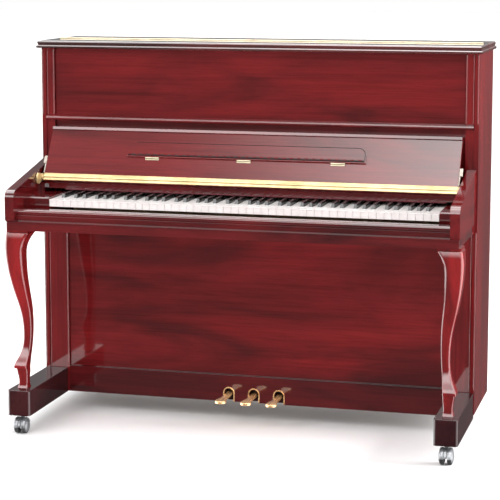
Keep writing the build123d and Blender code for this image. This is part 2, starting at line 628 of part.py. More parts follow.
# A lifting rail carries one wire and one felted head for each note that has a damper.
DAMPED_NOTES = 68
DAMPER_Y = STRING_Y - 16
with BuildPart() as dampers:
    pieces = [block((note_x(0) - 8, note_x(DAMPED_NOTES)), (DAMPER_Y - 12, DAMPER_Y - 3),
                    (ACTION_Z + 30, ACTION_Z + 46), Mode.PRIVATE)]
    for note in range(DAMPED_NOTES):
        x = note_x(note)
        pieces.append(block((x - 5, x + 5), (DAMPER_Y, DAMPER_Y + 8), (STRIKE_Z - 70, STRIKE_Z - 30),
                            Mode.PRIVATE))
        pieces.append(block((x - 1.5, x + 1.5), (DAMPER_Y - 3, DAMPER_Y), (ACTION_Z + 30, STRIKE_Z - 30),
                            Mode.PRIVATE))
    add(pieces)
save(dampers, "dampers")

# The practice rail hangs a felt strip between the hammers and the strings.
MUFFLER_Z = STRIKE_Z + 26
with BuildPart() as muffler_rail:
    block(ACTION_X, (DAMPER_Y - 6, DAMPER_Y + 2), (MUFFLER_Z + 20, MUFFLER_Z + 40))
    block(ACTION_X, (DAMPER_Y, DAMPER_Y + 2), (MUFFLER_Z, MUFFLER_Z + 20))
save(muffler_rail, "muffler_rail")
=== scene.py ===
import json
from math import atan2, cos, pi, radians, sin

import bmesh
import bpy
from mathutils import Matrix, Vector


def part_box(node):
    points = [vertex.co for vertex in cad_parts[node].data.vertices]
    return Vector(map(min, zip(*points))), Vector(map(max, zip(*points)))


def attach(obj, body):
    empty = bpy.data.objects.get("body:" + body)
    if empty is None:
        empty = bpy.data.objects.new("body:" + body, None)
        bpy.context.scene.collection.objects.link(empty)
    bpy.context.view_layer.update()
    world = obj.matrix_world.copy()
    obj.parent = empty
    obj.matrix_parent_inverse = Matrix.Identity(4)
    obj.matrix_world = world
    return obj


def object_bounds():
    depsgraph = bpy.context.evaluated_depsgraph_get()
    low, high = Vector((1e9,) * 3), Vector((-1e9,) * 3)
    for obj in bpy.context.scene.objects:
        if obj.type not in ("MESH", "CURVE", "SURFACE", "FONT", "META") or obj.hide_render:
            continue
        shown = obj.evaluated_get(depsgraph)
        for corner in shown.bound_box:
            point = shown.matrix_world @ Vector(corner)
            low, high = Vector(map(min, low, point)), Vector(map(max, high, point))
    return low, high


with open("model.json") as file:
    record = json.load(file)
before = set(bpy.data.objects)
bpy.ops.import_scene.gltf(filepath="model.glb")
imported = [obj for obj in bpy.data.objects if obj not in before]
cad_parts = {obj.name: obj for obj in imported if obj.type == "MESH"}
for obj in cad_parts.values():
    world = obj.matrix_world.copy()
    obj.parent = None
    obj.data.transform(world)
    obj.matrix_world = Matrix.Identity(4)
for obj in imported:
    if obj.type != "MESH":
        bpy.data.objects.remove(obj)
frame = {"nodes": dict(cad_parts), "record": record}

NODES = frame["nodes"]
JOINTS = {joint["name"]: joint for joint in frame["record"]["behaviour"]["joints"]}
CAD_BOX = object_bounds()
MM = 0.001
NOTES = ("c", "c_sharp", "d", "d_sharp", "e", "f", "f_sharp", "g", "g_sharp", "a", "a_sharp", "b")
SIDES = {"left": -1, "right": 1}


# ---------------------------------------------------------------- shader helpers
def set_range(node, low, high, to_low, to_high):
    """Fill in a Map Range node's limits."""
    for name, value in zip(("From Min", "From Max", "To Min", "To Max"), (low, high, to_low, to_high)):
        node.inputs[name].default_value = value


class Shader:
    """A material under construction: short calls that make and link its nodes."""

    def __init__(self, name):
        self.material = bpy.data.materials.new(name)
        self.material.use_nodes = True
        self.tree = self.material.node_tree
        self.surface = self.tree.nodes["Principled BSDF"]

    def node(self, kind, **settings):
        made = self.tree.nodes.new("ShaderNode" + kind)
        for key, value in settings.items():
            setattr(made, key, value)
        return made

    def link(self, output, socket):
        self.tree.links.new(output, socket)

    def feed(self, output, socket_name):
        """Link an output to one of the surface's own sockets."""
        self.link(output, self.surface.inputs[socket_name])

    def set(self, **values):
        """Set the surface's own sockets by name, such as Coat_Weight=0.5."""
        for key, value in values.items():
            self.surface.inputs[key.replace("_", " ")].default_value = value

    def place(self, scale, offset=(0, 0, 0)):
        """The object's own coordinates, scaled along each axis."""
        coordinates = self.node("TexCoord").outputs["Object"]
        mapping = self.node("Mapping")
        mapping.inputs["Scale"].default_value = scale
        mapping.inputs["Location"].default_value = offset
        self.link(coordinates, mapping.inputs["Vector"])
        return mapping.outputs["Vector"]

    def noise(self, where, detail, roughness=0.5, distortion=0.0):
        made = self.node("TexNoise")
        self.link(where, made.inputs["Vector"])
        made.inputs["Scale"].default_value = 1.0
        made.inputs["Detail"].default_value = detail
        made.inputs["Roughness"].default_value = roughness
        made.inputs["Distortion"].default_value = distortion
        return made.outputs["Fac"]

    def ramp(self, factor, *stops):
        """A colour ramp from (position, colour) stops."""
        made = self.node("ValToRGB")
        elements = made.color_ramp.elements
        while len(elements) < len(stops):
            elements.new(0.5)
        for element, (position, colour) in zip(elements, stops):
            element.position = position
            element.color = (*colour, 1.0)
        self.link(factor, made.inputs["Fac"])
        return made.outputs["Color"]

    def remap(self, factor, low, high, to_low, to_high):
        made = self.node("MapRange")
        set_range(made, low, high, to_low, to_high)
        self.link(factor, made.inputs["Value"])
        return made.outputs["Result"]

    def multiply(self, first, second, amount):
        """Multiply one colour by another, by some amount."""
        made = self.node("Mix", data_type="RGBA", blend_type="MULTIPLY")
        made.inputs[0].default_value = amount
        self.link(first, made.inputs[6])
        self.link(second, made.inputs[7])
        return made.outputs[2]

    def bump(self, height, strength, distance):
        made = self.node("Bump")
        made.inputs["Strength"].default_value = strength
        made.inputs["Distance"].default_value = distance
        self.link(height, made.inputs["Height"])
        self.feed(made.outputs["Normal"], "Normal")


def linear(hex_colour):
    """Linear colour from an sRGB hex string."""
    values = [int(hex_colour[i:i + 2], 16) / 255 for i in (0, 2, 4)]
    return tuple(v / 12.92 if v <= 0.04045 else ((v + 0.055) / 1.055) ** 2.4 for v in values)


def along(axis, fine, coarse):
    """A texture scale that is coarse along one axis and fine along the others."""
    return [coarse if name == axis else fine for name in "XYZ"]


# ---------------------------------------------------------------- materials
WHITE = (1.0, 1.0, 1.0)


def polished_mahogany(name, grain, figure, dark, mid="681618", light="7e1e20", gloss=0.45):
    """Dark red mahogany veneer under a deep gloss lacquer. grain is the axis that the fibres run along,
    and figure is how strongly the broad clouds of the veneer show."""
    wood = Shader(name)
    broad = wood.noise(wood.place(along(grain, 7.0, 1.3)), 5.0, 0.5, 1.2)
    clouds = wood.noise(wood.place(along(grain, 3.4, 1.5), (3.1, 1.7, 0.4)), 3.0, 0.5, 0.8)
    streaks = wood.noise(wood.place(along(grain, 90.0, 1.6)), 4.0, 0.55, 0.3)
    fibres = wood.noise(wood.place(along(grain, 520.0, 14.0)), 3.0, 0.6)
    ground = wood.ramp(broad, (0.30, linear(dark)), (0.50, linear(mid)), (0.72, linear(light)))
    shade = wood.ramp(clouds, (0.34, (0.45, 0.50, 0.50)), (0.50, (0.95, 0.95, 0.95)),
                      (0.68, (1.5, 1.25, 1.25)))
    bands = wood.ramp(streaks, (0.36, (0.60, 0.56, 0.56)), (0.52, WHITE))
    pores = wood.ramp(fibres, (0.36, (0.66, 0.62, 0.62)), (0.52, WHITE))
    colour = wood.multiply(wood.multiply(ground, shade, figure), bands, 0.45)
    wood.feed(wood.multiply(colour, pores, 0.5), "Base Color")
    haze = wood.noise(wood.place((9.0, 9.0, 9.0)), 3.0)
    wood.feed(wood.remap(haze, 0.3, 0.7, 0.04, 0.09), "Roughness")
    wood.set(Specular_IOR_Level=gloss, Coat_Weight=gloss * 0.65, Coat_Roughness=0.02)
    wood.bump(haze, 0.04, 0.002)
    return wood.material


def metal(name, colour, tarnish, smoothest, roughest, brushed="X", fineness=300.0, metallic=1.0):
    """Polished metal with faint brushed lines along one axis and tarnish in patches."""
    made = Shader(name)
    lines = made.noise(made.place(along(brushed, fineness, 5.0)), 3.0, 0.6)
    patches = made.noise(made.place((14.0, 14.0, 14.0)), 4.0, 0.6)
    ground = made.ramp(patches, (0.32, linear(tarnish)), (0.62, linear(colour)))
    drawn = made.ramp(lines, (0.35, (0.74, 0.70, 0.62)), (0.55, WHITE))
    made.feed(made.multiply(ground, drawn, 0.6), "Base Color")
    made.feed(made.remap(lines, 0.3, 0.7, smoothest, roughest), "Roughness")
    made.set(Metallic=metallic)
    made.bump(lines, 0.08, 0.0004)
    return made.material


def key_plastic(name, colour, shade, smoothest, roughest):
    """Key-top plastic: nearly even colour with slight finger haze."""
    made = Shader(name)
    haze = made.noise(made.place((26.0, 18.0, 26.0)), 4.0, 0.6)
    made.feed(made.ramp(haze, (0.35, linear(shade)), (0.65, linear(colour))), "Base Color")
    made.feed(made.remap(haze, 0.3, 0.7, smoothest, roughest), "Roughness")
    made.bump(haze, 0.03, 0.0005)
    return made.material


def felt(name, colour, shade):
    """Pressed wool: mottled, with a fine fuzz."""
    made = Shader(name)
    fuzz = made.noise(made.place((900.0, 900.0, 900.0)), 4.0, 0.7)
    made.feed(made.ramp(fuzz, (0.35, linear(shade)), (0.65, linear(colour))), "Base Color")
    made.set(Roughness=0.95, Sheen_Weight=0.4, Sheen_Roughness=0.5)
    made.bump(fuzz, 0.6, 0.0008)
    return made.material


def bare_timber(name, light, dark, grain):
    """Structural timber under a thin satin varnish, with straight grain."""
    made = Shader(name)
    rings = made.noise(made.place(along(grain, 60.0, 2.0)), 4.0, 0.55, 0.8)
    fibres = made.noise(made.place(along(grain, 700.0, 16.0)), 3.0, 0.6)
    ground = made.ramp(rings, (0.32, linear(dark)), (0.55, linear(light)))
    pores = made.ramp(fibres, (0.35, (0.70, 0.66, 0.60)), (0.60, WHITE))
    made.feed(made.multiply(ground, pores, 0.5), "Base Color")
    made.feed(made.remap(fibres, 0.3, 0.7, 0.36, 0.55), "Roughness")
    made.bump(fibres, 0.25, 0.0006)
    return made.material


def rubber(name):
    """Caster tread: dull black with a fine grain and grey scuffs."""
    made = Shader(name)
    scuff = made.noise(made.place((60.0, 60.0, 60.0)), 5.0, 0.65)
    made.feed(made.ramp(scuff, (0.42, (0.012, 0.012, 0.013)), (0.75, (0.05, 0.05, 0.05))), "Base Color")
    made.feed(made.remap(scuff, 0.3, 0.7, 0.45, 0.7), "Roughness")
    made.bump(made.noise(made.place((700.0, 700.0, 700.0)), 2.0), 0.3, 0.0004)
    return made.material


MAHOGANY_X = polished_mahogany("mahogany_along", "X", 0.22, "4a1214", "68181a", "781e20")
MAHOGANY_Y = polished_mahogany("mahogany_deep", "Y", 0.3, "3a1012", "5e1618", "6e1a1c")
MAHOGANY_FRONT = polished_mahogany("mahogany_front", "X", 0.25, "3a1012", "581618", "681a1c")
MAHOGANY_Z = polished_mahogany("mahogany_upright", "Z", 0.2, "501416", "68181a", "7a1c1e")
MAHOGANY_LID = polished_mahogany("mahogany_lid", "X", 0.2, "34100f", "4c1a18", "5c2220", 1.0)
MAHOGANY_FLAME = polished_mahogany("mahogany_flame", "X", 0.5, "4a1214")
MAHOGANY_LEG = polished_mahogany("mahogany_leg", "Z", 0.3, "4c1214", "74181a", "8c1e20")
# A much darker copy of the mahogany, as painted shade: the dark lines along the music desk's edges.
MAHOGANY_SHADOW_LINE = polished_mahogany("mahogany_painted_shadow_line", "X", 0.3, "1e0a0b", "2c0c0e", "3c1012", 0.12)
# A darker copy of the mahogany, as painted shade: on the toe blocks and on the guards inside the pedal slots.
MAHOGANY_PAINTED_SHADE = polished_mahogany("mahogany_painted_shade", "Y", 0.3, "241012", "321618", "3e1c1e", 0.2)
BRASS = metal("brass", "ceb88c", "aa956a", 0.36, 0.48, metallic=0.5)
NICKEL = metal("satin_nickel", "a89e94", "8c8278", 0.42, 0.54, metallic=0.15)
HINGE_BRASS = metal("hinge_brass", "c8bea4", "aaa084", 0.36, 0.46, metallic=0.3)
PEDAL_BRASS = metal("pedal_brass", "e8c08c", "c09060", 0.20, 0.32, "Y", 200.0, 0.5)
CHROME = metal("chrome", "8e9094", "6a6c70", 0.24, 0.34, "Z", 200.0, 0.25)
STEEL = metal("string_steel", "b8b2a6", "8a8276", 0.25, 0.40, "Z", 500.0)
GOLD_IRON = metal("gold_iron", "b8944e", "94743a", 0.38, 0.52, "Z", 250.0)
WHITE_KEYTOP = key_plastic("white_keytop", "fcfcfb", "f4f3f0", 0.10, 0.18)
BLACK_KEYTOP = key_plastic("black_keytop", "100e0e", "181616", 0.12, 0.22)
RED_FELT = felt("red_felt", "6a1c26", "3a0e14")
WHITE_FELT = felt("white_felt", "d8d2c4", "b8b0a0")
BEECH = bare_timber("beech", "cda77c", "a9825a", "X")
STAINED_BEECH = bare_timber("stained_beech", "5c4c44", "40342e", "X")
SPRUCE_X = bare_timber("spruce_beams", "d8b684", "b48e5c", "X")
SPRUCE_Z = bare_timber("spruce_posts", "d8b684", "b48e5c", "Z")
RUBBER = rubber("black_tread")

WHITE_KEYS = tuple(f"keys_{note}" for note in NOTES if "sharp" not in note)
BLACK_KEYS = tuple(f"keys_{note}" for note in NOTES if "sharp" in note)
FINISHES = (
    (MAHOGANY_LID, ("lid_front", "lid_rear")),
    (MAHOGANY_X, ("upper_panel", "fallboard", "music_desk")),
    (MAHOGANY_FRONT, ("nameboard", "keyslip", "keybed", "bottom_rail")),
    (MAHOGANY_Y, ("arm_left", "arm_right", "key_blocks")),
    # The toe blocks take the darker copy of the mahogany, as painted shade on their low front faces.
    (MAHOGANY_PAINTED_SHADE, ("toe_block_left", "toe_block_right")),
    (MAHOGANY_Z, ("side_panel_left", "side_panel_right", "pilasters")),
    (MAHOGANY_LEG, ("leg_left", "leg_right")),
    (MAHOGANY_FLAME, ("lower_panel",)),
    (BRASS, ("fallboard_hinge_fixed", "fallboard_hinge_moving")),
    (HINGE_BRASS, ("lid_hinge", "music_desk_hinges")),
    (PEDAL_BRASS, ("pedal_left", "pedal_middle", "pedal_right")),
    (CHROME, ("caster_left_housing", "caster_right_housing", "rear_caster_brackets")),
    (RUBBER, ("caster_left_wheels", "caster_right_wheels", "rear_caster_wheels")),
    (WHITE_KEYTOP, WHITE_KEYS),
    (BLACK_KEYTOP, BLACK_KEYS),
    (RED_FELT, ("nameboard_felt",)),
    (BEECH, ("key_rails", "pin_block", "bridges", "hammers", "action_frame", "dampers", "muffler_rail")),
    (STAINED_BEECH, ("bottom_board",)),
    (SPRUCE_X, ("back_beams",)),
    (SPRUCE_Z, ("back_posts", "soundboard")),
    (GOLD_IRON, ("iron_plate",)),
    (STEEL, ("strings", "tuning_pins")),
)
for material, names in FINISHES:
    for name in names:
        slots = NODES[name].data.materials
        slots.clear()
        slots.append(material)


# ---------------------------------------------------------------- softened CAD edges
def soften(piece, width):
    """Round a piece's sharp edges with a bevel. width is in millimetres."""
    bevel = piece.modifiers.new("soften", "BEVEL")
    bevel.width = width * MM
    bevel.segments = 3
    bevel.limit_method = "ANGLE"
    bevel.angle_limit = radians(40)
    bevel.harden_normals = True


EDGE_WIDTHS = (
    (5.5, ("side_panel_left", "side_panel_right", "pilasters")),
    (4.5, ("arm_left", "arm_right")),
    (3.0, ("keybed",)),
    (5.0, ("leg_left", "leg_right")),
    (1.8, ("toe_block_left", "toe_block_right")),
    (2.0, ("back_posts", "back_beams", "key_blocks", "fallboard", "keyslip")),
    (1.5, ("bottom_rail", "lower_panel", "upper_panel", "nameboard")),
    (1.2, BLACK_KEYS),
    (1.0, ("pedal_left", "pedal_middle", "pedal_right", "bottom_board")),
    (0.8, WHITE_KEYS),
)
for width, names in EDGE_WIDTHS:
    for name in names:
        soften(NODES[name], width)


# ---------------------------------------------------------------- piece helpers
TURNED_SIDES = 32


def add_piece(name, mesh_work, material, body, edge=0.0):
    """Finish a bmesh as a piece that rides on a body, in the given material."""
    bmesh.ops.recalc_face_normals(mesh_work, faces=mesh_work.faces)
    mesh = bpy.data.meshes.new(name)
    mesh_work.to_mesh(mesh)
    mesh_work.free()
    mesh.materials.append(material)
    mesh.shade_smooth()
    mesh.set_sharp_from_angle(angle=radians(35))
    piece = bpy.data.objects.new(name, mesh)
    bpy.context.scene.collection.objects.link(piece)
    if edge:
        soften(piece, edge)
    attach(piece, body)


def prism(work, outline, direction, start):
    """Add a closed outline of points, moved to start and swept along a direction."""
    near = [work.verts.new(start + Vector(point)) for point in outline]
    far = [work.verts.new(vertex.co + Vector(direction)) for vertex in near]
    work.faces.new(near)
    work.faces.new(reversed(far))
    for i in range(len(near)):
        j = (i + 1) % len(near)
        work.faces.new((near[i], far[i], far[j], near[j]))


def skin(work, sections):
    """Join closed sections of points, each to the next, and cap the two ends."""
    rows = [[work.verts.new(point) for point in section] for section in sections]
    work.faces.new(rows[0])
    work.faces.new(reversed(rows[-1]))
    for lower, upper in zip(rows, rows[1:]):
        for i in range(len(lower)):
            j = (i + 1) % len(lower)
            work.faces.new((lower[i], lower[j], upper[j], upper[i]))


def turned(work, profile, centre, axis):
    """Add a turned form. profile lists (distance along the axis, radius) in millimetres, 0 closing an end."""
    turn = Vector(axis).to_track_quat("Z", "Y").to_matrix()
    rings = []
    for height, radius in profile:
        angles = [2 * pi * i / TURNED_SIDES for i in range(TURNED_SIDES if radius else 1)]
        points = [Vector((radius * cos(angle), radius * sin(angle), height)) for angle in angles]
        rings.append([work.verts.new(Vector(centre) + turn @ point * MM) for point in points])
    for lower, upper in zip(rings, rings[1:]):
        for i in range(TURNED_SIDES):
            around = ((lower, i), (lower, i + 1), (upper, i + 1), (upper, i))
            corners = [ring[step % len(ring)] for ring, step in around]
            work.faces.new(list(dict.fromkeys(corners)))


def spread(first, last, count):
    """Evenly spaced values from first to last."""
    return [first + (last - first) * i / (count - 1) for i in range(count)]


def arc(centre, radius, start, end, steps):
    """Points (a, b) on an arc, with angles in degrees."""
    angles = [radians(angle) for angle in spread(start, end, steps + 1)]
    return [(centre[0] + radius * cos(angle), centre[1] + radius * sin(angle)) for angle in angles]


def half_round(steps=6):
    """Points (a, b) over a half circle of radius 1."""
    return arc((0, 0), 1, 0, 180, steps)


def side_on(points):
    """Points moved to x = 0, as an outline to sweep across the piano."""
    return [(0, point.y, point.z) for point in points]


def rectangle(x0, x1, z0, z1):
    """The four corners (x, z) of an upright rectangle."""
    return (x0, z0), (x1, z0), (x1, z1), (x0, z1)


# ---------------------------------------------------------------- camera, floor and light
CENTRE = (CAD_BOX[0] + CAD_BOX[1]) / 2
CAMERA_FROM_CENTRE = Vector((1.4194, -5.3185, 0.877))
CAMERA_YAW = 15.03
CAMERA_PITCH = 7.58
CAMERA_LENS = 126.6
CAMERA_SHIFT = -0.12

camera = bpy.data.objects.new("camera", bpy.data.cameras.new("camera"))
bpy.context.scene.collection.objects.link(camera)
camera.location = CENTRE + CAMERA_FROM_CENTRE
camera.rotation_euler = (radians(90 - CAMERA_PITCH), 0, radians(CAMERA_YAW))
camera.data.lens = CAMERA_LENS
camera.data.sensor_width = 36
camera.data.shift_y = CAMERA_SHIFT
bpy.context.scene.camera = camera
bpy.context.scene.view_settings.view_transform = "Standard"


def area_light(name, where, aim, size, power):
    """A soft rectangular light at one point, aimed at another."""
    data = bpy.data.lights.new(name, "AREA")
    data.shape = "RECTANGLE"
    data.size, data.size_y = size
    data.energy = power
    lamp = bpy.data.objects.new(name, data)
    bpy.context.scene.collection.objects.link(lamp)
    lamp.location = where
    lamp.rotation_euler = (Vector(aim) - Vector(where)).to_track_quat("-Z", "Y").to_euler()
    lamp.visible_glossy = False


# Places and sizes in metres, power in watts.
area_light("key_light", (-2.2, -3.0, 3.4), (0, 0, 0.6), (2.4, 1.6), 60)
area_light("top_light", (0.4, -0.6, 3.8), (0, 0, 0.5), (3.5, 2.2), 30)
area_light("side_light", (4.2, 0.6, 1.5), (0.7, 0.1, 0.6), (1.6, 2.4), 320)

FLOOR_REACH = 40.0
corners = [(x * FLOOR_REACH, y * FLOOR_REACH, 0) for x, y in rectangle(-1, 1, -1, 1)]
floor_mesh = bpy.data.meshes.new("floor")
floor_mesh.from_pydata(corners, [], [(0, 1, 2, 3)])
floor = bpy.data.objects.new("floor", floor_mesh)
bpy.context.scene.collection.objects.link(floor)
floor_paint = Shader("floor_paint")
floor_paint.set(Base_Color=(0.9, 0.9, 0.9, 1.0), Roughness=0.8)
floor_mesh.materials.append(floor_paint.material)
floor.visible_glossy = False


class Studio:
    """The studio's surroundings: white to the eye, with soft boxes for the gloss to reflect."""

    def __init__(self):
        world = bpy.data.worlds.new("studio")
        bpy.context.scene.world = world
        world.use_nodes = True
        self.tree = world.node_tree
        direction = self.tree.nodes.new("ShaderNodeTexCoord").outputs["Generated"]
        split = self.tree.nodes.new("ShaderNodeSeparateXYZ")
        self.tree.links.new(direction, split.inputs[0])
        self.axes = dict(zip("xyz", split.outputs))

    def math(self, operation, first, second):
        made = self.tree.nodes.new("ShaderNodeMath")
        made.operation = operation
        for value, socket in ((first, made.inputs[0]), (second, made.inputs[1])):
            if isinstance(value, (int, float)):
                socket.default_value = value
            else:
                self.tree.links.new(value, socket)
        return made.outputs[0]

    def ease(self, axis, start, end):
        """0 before start and 1 after end along one axis, smooth between. end may be the lower."""
        made = self.tree.nodes.new("ShaderNodeMapRange")
        made.interpolation_type = "SMOOTHSTEP"
        (low, at_low), (high, at_high) = sorted(((start, 0.0), (end, 1.0)))
        set_range(made, low, high, at_low, at_high)
        self.tree.links.new(self.axes[axis], made.inputs["Value"])
        return made.outputs["Result"]

    def soft_box(self, power, *limits):
        """A glow of some power within eased limits, each (axis, start, end). Below 0 it darkens."""
        glow = power
        for axis, start, end in limits:
            glow = self.math("MULTIPLY", self.ease(axis, start, end), glow)
        return glow

    def finish(self, glows, ambient, sky, backdrop):
        """Reflections see the glows, diffuse light comes from the sky, the eye sees the backdrop."""
        reflected = ambient
        for glow in glows:
            reflected = self.math("ADD", glow, reflected)
        path = self.tree.nodes.new("ShaderNodeLightPath")
        seen = self.math("MULTIPLY", path.outputs["Is Camera Ray"], backdrop)
        gloss = self.math("MULTIPLY", path.outputs["Is Glossy Ray"], reflected)
        soft = self.math("MULTIPLY", path.outputs["Is Diffuse Ray"], sky)
        background = self.tree.nodes["Background"]
        background.inputs["Color"].default_value = (1.0, 1.0, 1.0, 1.0)
        strength = self.math("ADD", seen, self.math("ADD", gloss, soft))
        self.tree.links.new(strength, background.inputs["Strength"])


# The glows are placed by direction: x to the treble end, y to the back, z up.
studio = Studio()
studio.finish(
    (
        # High in front: strong from the middle to the treble end, and faint all along.
        studio.soft_box(8.5, ("x", -0.32, -0.08), ("z", 0.45, 0.72), ("y", -0.15, -0.40)),
        studio.soft_box(0.5, ("z", 0.45, 0.72), ("y", -0.15, -0.40)),
        # Overhead, for the lid, and kept away from the fallboard's reflections.
        studio.soft_box(8.0, ("z", 0.55, 0.85), ("y", -0.46, -0.26)),
        # A band in front, between about 10 and 33 degrees up.
        studio.soft_box(8.0, ("z", 0.08, 0.26), ("z", 0.62, 0.46), ("y", -0.5, -0.7)),
        # Behind: a faint glow above the horizon, and a negative one that darkens below it.
        studio.soft_box(0.2, ("y", 0.55, 0.90), ("z", 0.0, 0.12)),
        studio.soft_box(-0.1, ("y", 0.5, 0.9), ("z", 0.05, -0.05)),
        # The two ends of the piano.
        studio.soft_box(6.5, ("x", -0.60, -0.88), ("z", 0.8, 0.5)),
        studio.soft_box(5.5, ("x", 0.60, 0.88), ("z", 0.8, 0.5)),
    ),
    ambient=0.2, sky=1.15, backdrop=1.0)


# ---------------------------------------------------------------- fallboard hardware
PIVOT = Vector(JOINTS["fallboard_close"]["pos_m"])
DESK_FOOT = 74.0
DESK_FRONT = 3.5
# The open board's tilt follows from its pivot, the music desk's hinge and where that lies on the board.
to_desk = Vector(JOINTS["desk_fold"]["pos_m"]) - PIVOT
LEAN = atan2(to_desk.z, to_desk.y) - atan2(DESK_FRONT, DESK_FOOT)
UP_BOARD = Vector((0, cos(LEAN), sin(LEAN)))
OFF_BOARD = Vector((0, -sin(LEAN), cos(LEAN)))
BOARD_LOW, BOARD_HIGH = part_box("fallboard")
CHEEK_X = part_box("arm_right")[0].x

# The steel arm on each end of the board: (foot, reach, width) of its narrow and its wide part.
ARM_PARTS = ((13, 48, 3.2), (47, 73, 9.6))
ARM_GAP = 0.6 * MM
# The cast bracket on each cheek, as (y, z) from the pivot, and the knuckle over the pivot.
BRACKET_PLATE = (
    (-17, -19), (-30, -22), (-40, -16), (-43, -4), (-40, 8), (-30, 14), (-16, 13), (-6, 10), (-4, -12))
BRACKET_DEPTH = 7 * MM
BRACKET_GAP = 0.2 * MM
KNUCKLE_PROFILE = ((0, 0), (0, 9.5), (1, 10.5), (8, 10.5), (9.5, 9), (10, 6), (10, 0))
KNUCKLE_GAP = 0.3 * MM
KNUCKLE_DROP = 1 * MM


def on_board(up, off):
    """A point on the open fallboard, in millimetres up from its pivot and off its face."""
    return PIVOT + up * MM * UP_BOARD + off * MM * OFF_BOARD


def hinge_bands(name, bands, body):
    """Half-round ribs along a leaf of the continuous hinge: (up, height, width) in millimetres."""
    work = bmesh.new()
    for up, height, width in bands:
        outline = side_on(on_board(up + width / 2 * a, height * b) for a, b in half_round())
        prism(work, outline, (BOARD_HIGH.x - BOARD_LOW.x, 0, 0), Vector((BOARD_LOW.x, 0, 0)))
    add_piece(name, work, BRASS, body)


hinge_bands("fallboard_hinge_ribs", ((5.2, 0.7, 1.8), (8.4, 0.5, 1.4), (11.2, 0.8, 1.6)), "fallboard")
hinge_bands("fallboard_hinge_foot_ribs", ((-4.8, 0.5, 1.4), (-10.6, 0.9, 2.4)), "case")

for side, sign in SIDES.items():
    work = bmesh.new()
    for foot, reach, width in ARM_PARTS:
        shape = ((foot, -5), (foot, 1), (reach - 4, 1), (reach, -1), (reach, -3), (reach - 4, -5))
        outline = side_on(on_board(up, off) for up, off in shape)
        prism(work, outline, (sign * width * MM, 0, 0), Vector((sign * (BOARD_HIGH.x + ARM_GAP), 0, 0)))
    add_piece(f"fallboard_arm_{side}", work, NICKEL, "fallboard", 0.8)

    work = bmesh.new()
    outline = [(0, PIVOT.y + y * MM, PIVOT.z + z * MM) for y, z in BRACKET_PLATE]
    prism(work, outline, (-sign * BRACKET_DEPTH, 0, 0), Vector((sign * (CHEEK_X - BRACKET_GAP), 0, 0)))
    add_piece(f"fallboard_bracket_{side}", work, BRASS, "case", 2.2)

    work = bmesh.new()
    seat = (sign * (CHEEK_X - KNUCKLE_GAP), PIVOT.y, PIVOT.z - KNUCKLE_DROP)
    turned(work, KNUCKLE_PROFILE, seat, (-sign, 0, 0))
    add_piece(f"fallboard_knuckle_{side}", work, BRASS, "case")

# ---------------------------------------------------------------- music desk mouldings
DESK_LOW, DESK_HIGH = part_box("music_desk")


def desk_reach(direction):
    """How far the desk reaches from the fallboard's pivot along a direction, in millimetres."""
    return max((vertex.co - PIVOT).dot(direction) for vertex in NODES["music_desk"].data.vertices) / MM


DESK_FACE = desk_reach(OFF_BOARD)
DESK_TOP = desk_reach(UP_BOARD)
STRIP_SUNK = 0.3
EDGE_INSET = 4
LIP_UP = DESK_FOOT + 9
LIP_LEFT = DESK_LOW.x + 8 * MM
LIP_RIGHT = DESK_HIGH.x - EDGE_INSET * MM
LIP_BEADS = 32
LIP_BEADS_LEFT = DESK_LOW.x + 14 * MM
LIP_BEADS_RIGHT = DESK_HIGH.x - 18 * MM
LIP_BEAD_LENGTH = 11 * MM
LIP_BEAD_RADIUS = 2.4
LIP_BEAD_HEIGHT = 4.2
CORNER_RADIUS = 22


def desk_strip(name, middles, width, height):
    """A half-round strip on the desk's face, through points (x in metres, up in millimetres)."""
    sections = []
    for i, (x, up) in enumerate(middles):
        before = Vector(middles[max(i - 1, 0)])
        after = Vector(middles[min(i + 1, len(middles) - 1)])
        heading = Vector(((after.x - before.x) / MM, after.y - before.y)).normalized()
        across = Vector((-heading.y, heading.x)) * width / 2
        sections.append([on_board(up + across.y * a, DESK_FACE - STRIP_SUNK + b * height)
                         + Vector((x + across.x * a * MM, 0, 0)) for a, b in half_round()])
    work = bmesh.new()
    skin(work, sections)
    # The strips are in the darker mahogany, as a painted shadow line along the desk's edges.
    add_piece(name, work, MAHOGANY_SHADOW_LINE, "music_desk")


# A rounded lip along the foot, with a row of beads over it. The lip's real moulding is made in the darker
# mahogany, so its dark colour is a painted shadow line.
desk_strip("music_desk_lip", [(LIP_LEFT, LIP_UP), (LIP_RIGHT, LIP_UP)], 7.0, 3.2)
work = bmesh.new()
outline = side_on(on_board(LIP_UP + 2 + LIP_BEAD_RADIUS * a, DESK_FACE + LIP_BEAD_HEIGHT * b)
                  for a, b in half_round())
for x in spread(LIP_BEADS_LEFT, LIP_BEADS_RIGHT, LIP_BEADS):
    prism(work, outline, (LIP_BEAD_LENGTH, 0, 0), Vector((x - LIP_BEAD_LENGTH / 2, 0, 0)))
add_piece("music_desk_beads", work, MAHOGANY_LEG, "music_desk")

# A thin bead along the top, round the corner and down the right edge, in the darker mahogany as a painted
# shadow line round the desk.
turn_at = (DESK_HIGH.x / MM - EDGE_INSET - CORNER_RADIUS, DESK_TOP - EDGE_INSET - CORNER_RADIUS)
corner = [(x * MM, up) for x, up in arc(turn_at, CORNER_RADIUS, 90, 0, 6)]
top_left = (DESK_LOW.x + 30 * MM, DESK_TOP - EDGE_INSET)
desk_strip("music_desk_bead", [top_left, *corner, (LIP_RIGHT, DESK_FOOT + 14)], 2.2, 1.2)

